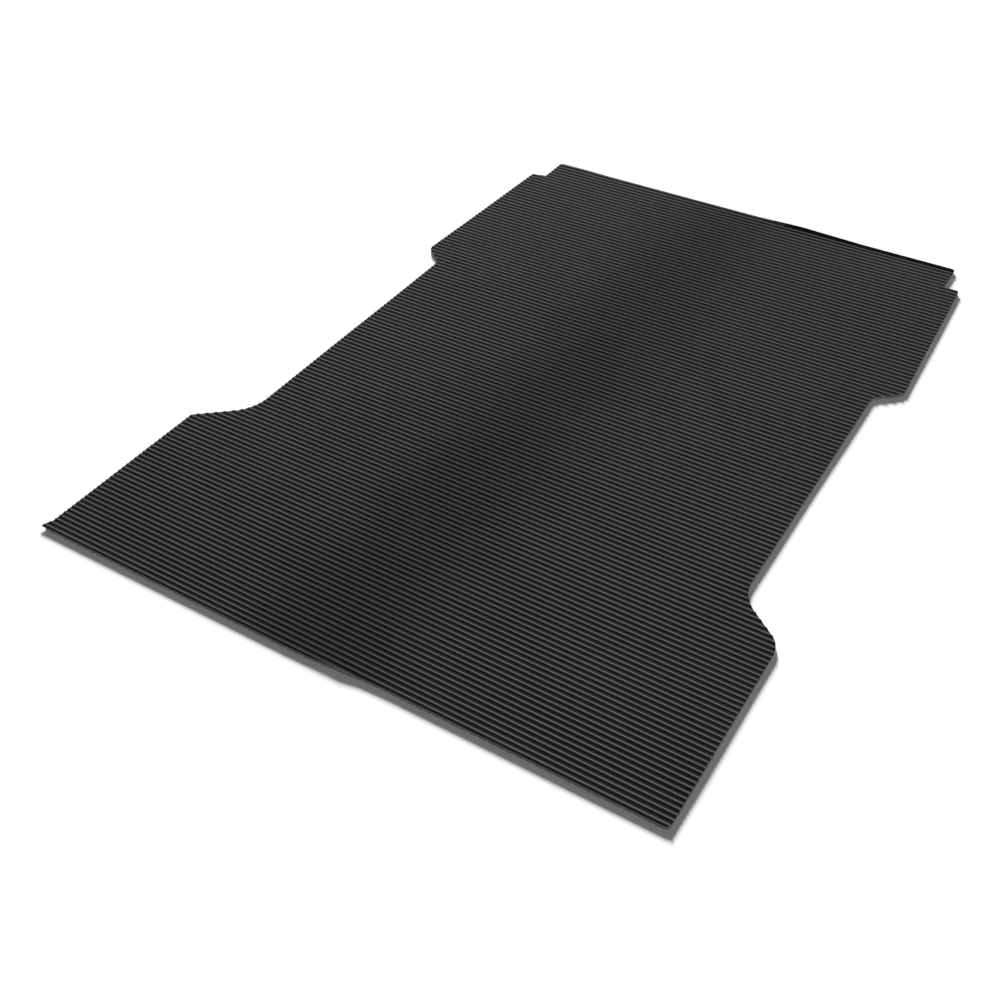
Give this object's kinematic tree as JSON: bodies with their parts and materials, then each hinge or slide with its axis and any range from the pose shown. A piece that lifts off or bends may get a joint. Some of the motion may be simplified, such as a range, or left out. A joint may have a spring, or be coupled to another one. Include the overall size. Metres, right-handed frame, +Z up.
{
  "type": "truck bed liner mat",
  "caption": "Ribbed black rubber mat that lies on a pickup truck's load bed, with cut-outs for the wheel housings and notches at the tailgate corners.",
  "frame": {"origin": "on the bed floor, under the middle of the mat's length and width", "axes": "+Y towards the tailgate, -Y towards the cab, +X towards the truck's left side, +Z up out of the bed floor"},
  "size_m": [1.5, 2.07, 0.0095],
  "materials": {
    "top_rubber": "moulded black rubber with a dull satin sheen on the rib crests",
    "nylon_ply": "dipped woven nylon, seen only at the cut edges",
    "skim_gum": "matt black bonding gum",
    "bottom_rubber": "matt black rubber with a fine moulded grain"
  },
  "bodies": {
    "root": {"ribbed_top_cover": "top_rubber", "upper_nylon_ply": "nylon_ply", "skim_gum_layer": "skim_gum", "lower_nylon_ply": "nylon_ply", "channelled_bottom_cover": "bottom_rubber"}
  },
  "joints": []
}
